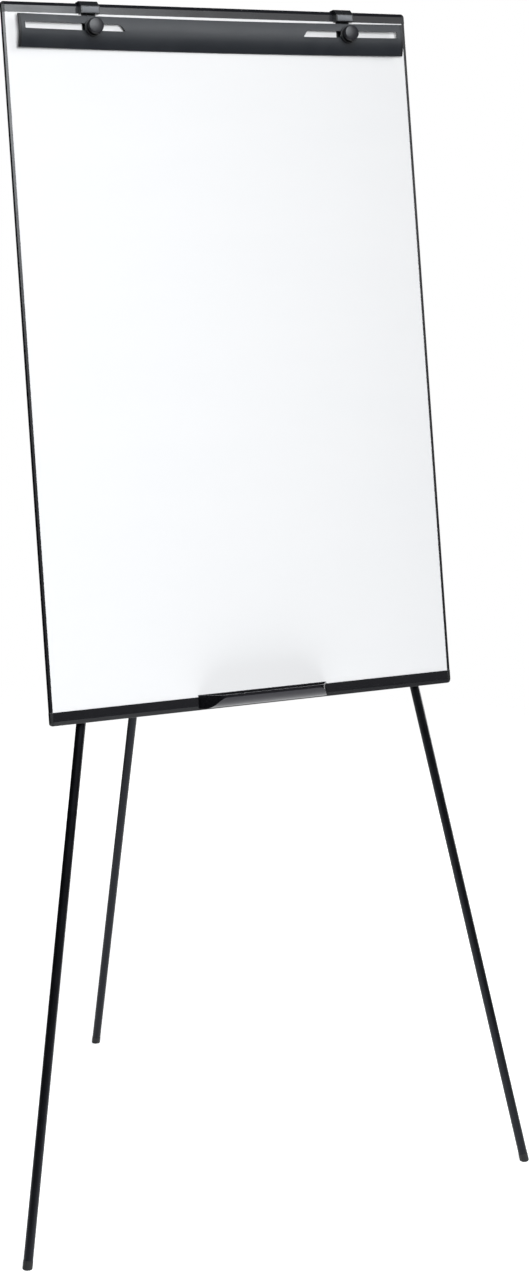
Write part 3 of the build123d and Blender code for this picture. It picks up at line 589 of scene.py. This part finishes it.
# %% [markdown]
# ## Grips on the hanger clips
#
# A clip is pressed on with a thumb, so its front carries a pad of fine upright ribs. One rib is a small block
# with softened edges, and a loop sets the others beside it on a thin backing. Paler than the clip, it catches
# the softbox and reads as a light grey patch.

# %% Make both grips
GRIP_WIDTH = 26 * MM
GRIP_HEIGHT = 8.8 * MM
GRIP_BACKING = 0.5 * MM
GRIP_SOFTENING = 0.15 * MM
RIB_PITCH = 1.3 * MM
RIB_WIDTH = 0.8 * MM
RIB_DEPTH = 0.9 * MM
RIB_SOFTENING = 0.2 * MM
FACE_MIDDLE_DOWN = 12.1 * MM
SUNK = 0.2 * MM                # how far the backing goes into the clip's face

coated("clip_grip", (0.14, 0.143, 0.152), (0.20, 0.20, 0.21), (0.36, 0.46), 0.0006, 0.00010)

for side in SIDES:
    low, high = board_spans(f"{side}_hanger_clip")
    middle = (low[0] + high[0]) / 2
    face = low[1] + SUNK
    height = BOARD_TOP - FACE_MIDDLE_DOWN
    grip = bmesh.new()
    add_block(grip, (middle, face - GRIP_BACKING / 2, height),
              (GRIP_WIDTH, GRIP_BACKING, GRIP_HEIGHT), GRIP_SOFTENING)
    ribs = int(GRIP_WIDTH / RIB_PITCH)
    for rib in range(ribs):
        across = middle + (rib - (ribs - 1) / 2) * RIB_PITCH
        add_block(grip, (across, face - RIB_DEPTH / 2, height),
                  (RIB_WIDTH, RIB_DEPTH, GRIP_HEIGHT - 2 * SUNK), RIB_SOFTENING)
    sharp_by_angle(finish_piece(f"{side}_clip_grip", grip, BOARD, "clip_plastic", f"{side}_hanger",
                                finish="clip_grip"))

# %% [markdown]
# ## The camera
#
# The camera stands a little to the left at eye height and looks slightly down, with a long lens, so the
# upright legs stay nearly parallel. Its axes are built from a heading, a dip and a roll. Shifting the lens
# frames the tall easel without tilting the camera any further.

# %% Camera
CAMERA_PLACE = Vector((-1.5971, -3.4375, 1.6316))
HEADING, DIP, ROLL = (math.radians(angle) for angle in (26.819, 8.301, 0.49))
FOCAL_LENGTH = 67.44
LENS_SHIFT = (-0.0004, -0.1232)


def camera():
    """A camera at the viewing angle, with a lens for an upright picture."""
    ahead = Vector((math.sin(HEADING) * math.cos(DIP), math.cos(HEADING) * math.cos(DIP), -math.sin(DIP)))
    level = Vector((math.cos(HEADING), -math.sin(HEADING), 0))
    above = level.cross(ahead)
    right = level * math.cos(ROLL) + above * math.sin(ROLL)
    up = above * math.cos(ROLL) - level * math.sin(ROLL)
    lens = bpy.data.cameras.new("camera")
    lens.lens = FOCAL_LENGTH
    lens.shift_x, lens.shift_y = LENS_SHIFT
    lens.clip_start, lens.clip_end = 0.05, 50.0
    made = bpy.data.objects.new("camera", lens)
    made.matrix_world = Matrix.Translation(CAMERA_PLACE) @ Matrix((right, up, -ahead)).transposed().to_4x4()
    bpy.context.scene.collection.objects.link(made)
    bpy.context.scene.camera = made


camera()
print("camera at", [round(value, 2) for value in CAMERA_PLACE])


# %% [markdown]
# ## Softboxes
#
# Black satin shows what it reflects, so each softbox is placed for its reflection. The key stands high in
# front: the flat strips along the board mirror its right edge, so they are brightest at the left end and fade
# along the rail. The side box draws a thin bright line down the right of each leg, and the back box lights
# the sheet and the bracket behind the board.
#
# From so high up the clamp bar would throw a shadow on the board and darken what shows through its slots. So
# light linking takes the key off the writing surface and gives that a softbox of its own, near the camera,
# where any shadow hides behind the bar.

# %% Lights
def softbox(name, place_at, look_at, size, power, colour=(1, 1, 1)):
    """A soft rectangular light that isn't seen by the camera."""
    light = bpy.data.lights.new(name, "AREA")
    light.shape = "RECTANGLE"
    light.size, light.size_y = size
    light.energy = power
    light.color = colour
    made = bpy.data.objects.new(name, light)
    made.matrix_world = Matrix.Translation(place_at) @ (
        Vector(look_at) - Vector(place_at)).to_track_quat("-Z", "Y").to_matrix().to_4x4()
    made.visible_camera = False
    bpy.context.scene.collection.objects.link(made)
    return made


def link_board(light, state):
    """Makes a light fall on the writing surface only, or on everything but that."""
    lit = bpy.data.collections.new(f"{light.name}_board")
    lit.objects.link(frame["nodes"]["whiteboard_sheet"])
    lit.collection_objects[0].light_linking.link_state = state
    light.light_linking.receiver_collection = lit


key = softbox("key_softbox", place_at=(-0.46, -2.76, 3.49), look_at=(0.0, -0.1, 1.75), size=(3.5, 2.5),
              power=190.0, colour=(0.93, 0.97, 1.0))
link_board(key, "EXCLUDE")
front = softbox("board_softbox", place_at=(-1.05, -3.3, 2.0), look_at=(0.0, -0.1, 1.6), size=(0.9, 0.9),
                power=111.0)
link_board(front, "INCLUDE")
softbox("side_softbox", place_at=(3.0, 0.3, 1.1), look_at=(0.0, -0.1, 1.0), size=(1.4, 2.2), power=50.0)
softbox("back_softbox", place_at=(1.6, 3.0, 2.6), look_at=(0.0, 0.2, 1.0), size=(2.0, 2.0), power=60.0)


# %% [markdown]
# ## The room
#
# The camera sees plain white. Everything else sees a dark room, a little lighter overhead, with one soft
# glow in front on the right, which is what the right half of the rails and the clamp bar mirrors.

# %% World
GLOW_AIM = Vector((0.45, -0.85, 0.42)).normalized()
GLOW_NARROWNESS = 36.0
GLOW_STRENGTH = 1.9


def studio_world():
    """White to the camera; to everything else, a dim room with a glow at the front right."""
    world = bpy.data.worlds.new("studio")
    world.use_nodes = True
    tree = world.node_tree
    tree.nodes.clear()
    direction = place(tree, "ShaderNodeTexCoord").outputs["Generated"]
    toward = place(tree, "ShaderNodeVectorMath", {0: direction, 1: GLOW_AIM},
                   operation="DOT_PRODUCT").outputs["Value"]
    glow = calculate(tree, "POWER", calculate(tree, "MAXIMUM", toward, 0.0), GLOW_NARROWNESS)
    height = place(tree, "ShaderNodeSeparateXYZ", {0: direction}).outputs["Z"]
    room = spread(tree, height, 0.1, 0.7, 0.015, 0.10)
    strength = calculate(tree, "ADD", room, calculate(tree, "MULTIPLY", glow, GLOW_STRENGTH))
    dim = place(tree, "ShaderNodeBackground", {"Color": (1, 1, 1, 1), "Strength": strength}).outputs[0]
    white = place(tree, "ShaderNodeBackground", {"Color": (1, 1, 1, 1), "Strength": 1.0}).outputs[0]
    seen = place(tree, "ShaderNodeLightPath").outputs["Is Camera Ray"]
    shown = place(tree, "ShaderNodeMixShader", {0: seen, 1: dim, 2: white}).outputs[0]
    place(tree, "ShaderNodeOutputWorld", {"Surface": shown})
    bpy.context.scene.world = world


studio_world()


# %% [markdown]
# ## The floor
#
# A white floor throws light up on the tray's curved underside and the rails' lower bevels. The disc fades out
# at its rim, so no edge shows against the white. It also glows a little, most of all to the camera, which
# keeps the feet's shadows light.

# %% Floor
FLOOR_RADIUS = 3.2
FADE_START = (0.9, 1.7)        # to other rays, and to the camera
FADE_END = (2.0, 3.1)
FLOOR_GLOW = (0.35, 0.5)
FLOOR_COLOUR = (0.93, 0.93, 0.93, 1)


def studio_floor():
    """A pale round floor that fades out at its rim."""
    shape = bmesh.new()
    bmesh.ops.create_circle(shape, cap_ends=True, segments=96, radius=FLOOR_RADIUS)
    mesh = bpy.data.meshes.new("studio_floor")
    shape.to_mesh(mesh)
    shape.free()
    floor = bpy.data.objects.new("studio_floor", mesh)
    material = bpy.data.materials.new("pale_floor")
    material.use_nodes = True
    tree = material.node_tree
    tree.nodes.clear()
    reach = place(tree, "ShaderNodeVectorMath", {0: object_point(tree)}, operation="LENGTH").outputs["Value"]
    seen = place(tree, "ShaderNodeLightPath").outputs["Is Camera Ray"]
    start = spread(tree, seen, 0.0, 1.0, *FADE_START)
    end = spread(tree, seen, 0.0, 1.0, *FADE_END)
    fade = place(tree, "ShaderNodeMapRange", {"Value": reach, "From Min": start, "From Max": end},
                 interpolation_type="SMOOTHSTEP").outputs[0]
    pale = place(tree, "ShaderNodeBsdfDiffuse", {"Color": FLOOR_COLOUR}).outputs[0]
    glow = place(tree, "ShaderNodeEmission",
                 {"Color": (1, 1, 1, 1), "Strength": spread(tree, seen, 0.0, 1.0, *FLOOR_GLOW)}).outputs[0]
    lit = place(tree, "ShaderNodeAddShader", {0: pale, 1: glow}).outputs[0]
    clear = place(tree, "ShaderNodeBsdfTransparent").outputs[0]
    place(tree, "ShaderNodeOutputMaterial",
          {"Surface": place(tree, "ShaderNodeMixShader", {0: fade, 1: lit, 2: clear}).outputs[0]})
    mesh.materials.append(material)
    bpy.context.scene.collection.objects.link(floor)


studio_floor()
bpy.context.scene.view_settings.view_transform = "Standard"
print("floor radius:", FLOOR_RADIUS)
